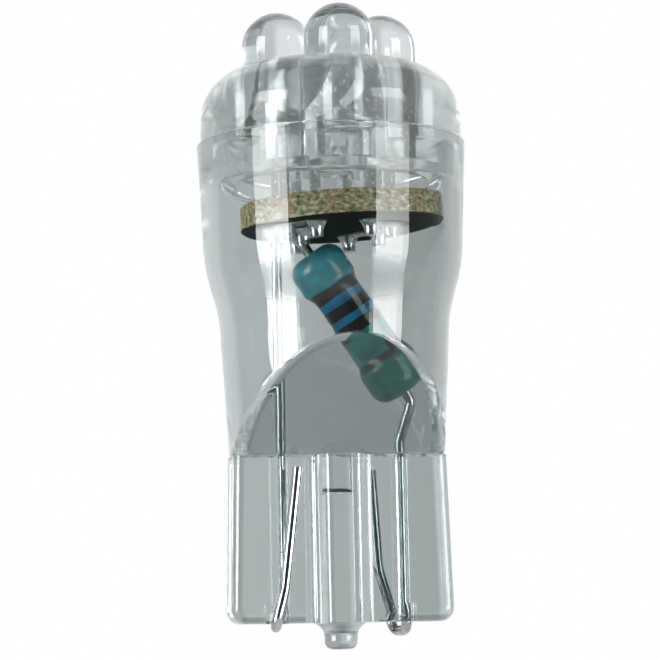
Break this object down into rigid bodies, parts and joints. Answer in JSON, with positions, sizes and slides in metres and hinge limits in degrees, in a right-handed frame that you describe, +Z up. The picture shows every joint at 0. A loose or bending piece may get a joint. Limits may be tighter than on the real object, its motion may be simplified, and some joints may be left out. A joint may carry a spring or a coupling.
{
  "type": "wedge base led bulb",
  "caption": "Clear miniature wedge base bulb with domed light-emitting diodes standing out of its cap, a round board and a banded resistor inside, and wire contacts folded up the wedge.",
  "frame": {"origin": "middle of the lower end of the flat wedge, where the lamp holder's floor would be", "axes": "+Z runs up from the wedge to the diodes, +X lies across the wedge's broad faces, -Y is the front face of the picture"},
  "size_m": [0.0114, 0.0114, 0.0271],
  "materials": {
    "clear_body": "clear moulded plastic, faintly grey",
    "clear_cap": "clear moulded plastic, faintly grey",
    "lens_epoxy": "water-clear cast epoxy",
    "lead_frame": "silver-plated strip",
    "chip": "pale semiconductor die",
    "bond_wire": "bright gold wire",
    "board_laminate": "tan glass-fibre laminate",
    "track_copper": "etched copper",
    "solder": "bright solder",
    "resistor_lacquer": "blue-green lacquer with dark bands",
    "tinned_wire": "bright tinned wire"
  },
  "bodies": {
    "root": {"body": "clear_body", "lens_cap": "clear_cap", "circuit_board": "board_laminate", "copper_tracks": "track_copper", "led_solder_joints": "solder", "wire_solder_joints": "solder", "resistor_body": "resistor_lacquer", "resistor_lead": "tinned_wire", "right_contact_wire": "tinned_wire", "left_contact_wire": "tinned_wire", "led_1_lens": "lens_epoxy", "led_1_cathode": "lead_frame", "led_1_anode": "lead_frame", "led_1_chip": "chip", "led_1_bond_wire": "bond_wire", "led_2_lens": "lens_epoxy", "led_2_cathode": "lead_frame", "led_2_anode": "lead_frame", "led_2_chip": "chip", "led_2_bond_wire": "bond_wire", "led_3_lens": "lens_epoxy", "led_3_cathode": "lead_frame", "led_3_anode": "lead_frame", "led_3_chip": "chip", "led_3_bond_wire": "bond_wire", "led_4_lens": "lens_epoxy", "led_4_cathode": "lead_frame", "led_4_anode": "lead_frame", "led_4_chip": "chip", "led_4_bond_wire": "bond_wire"}
  },
  "joints": []
}
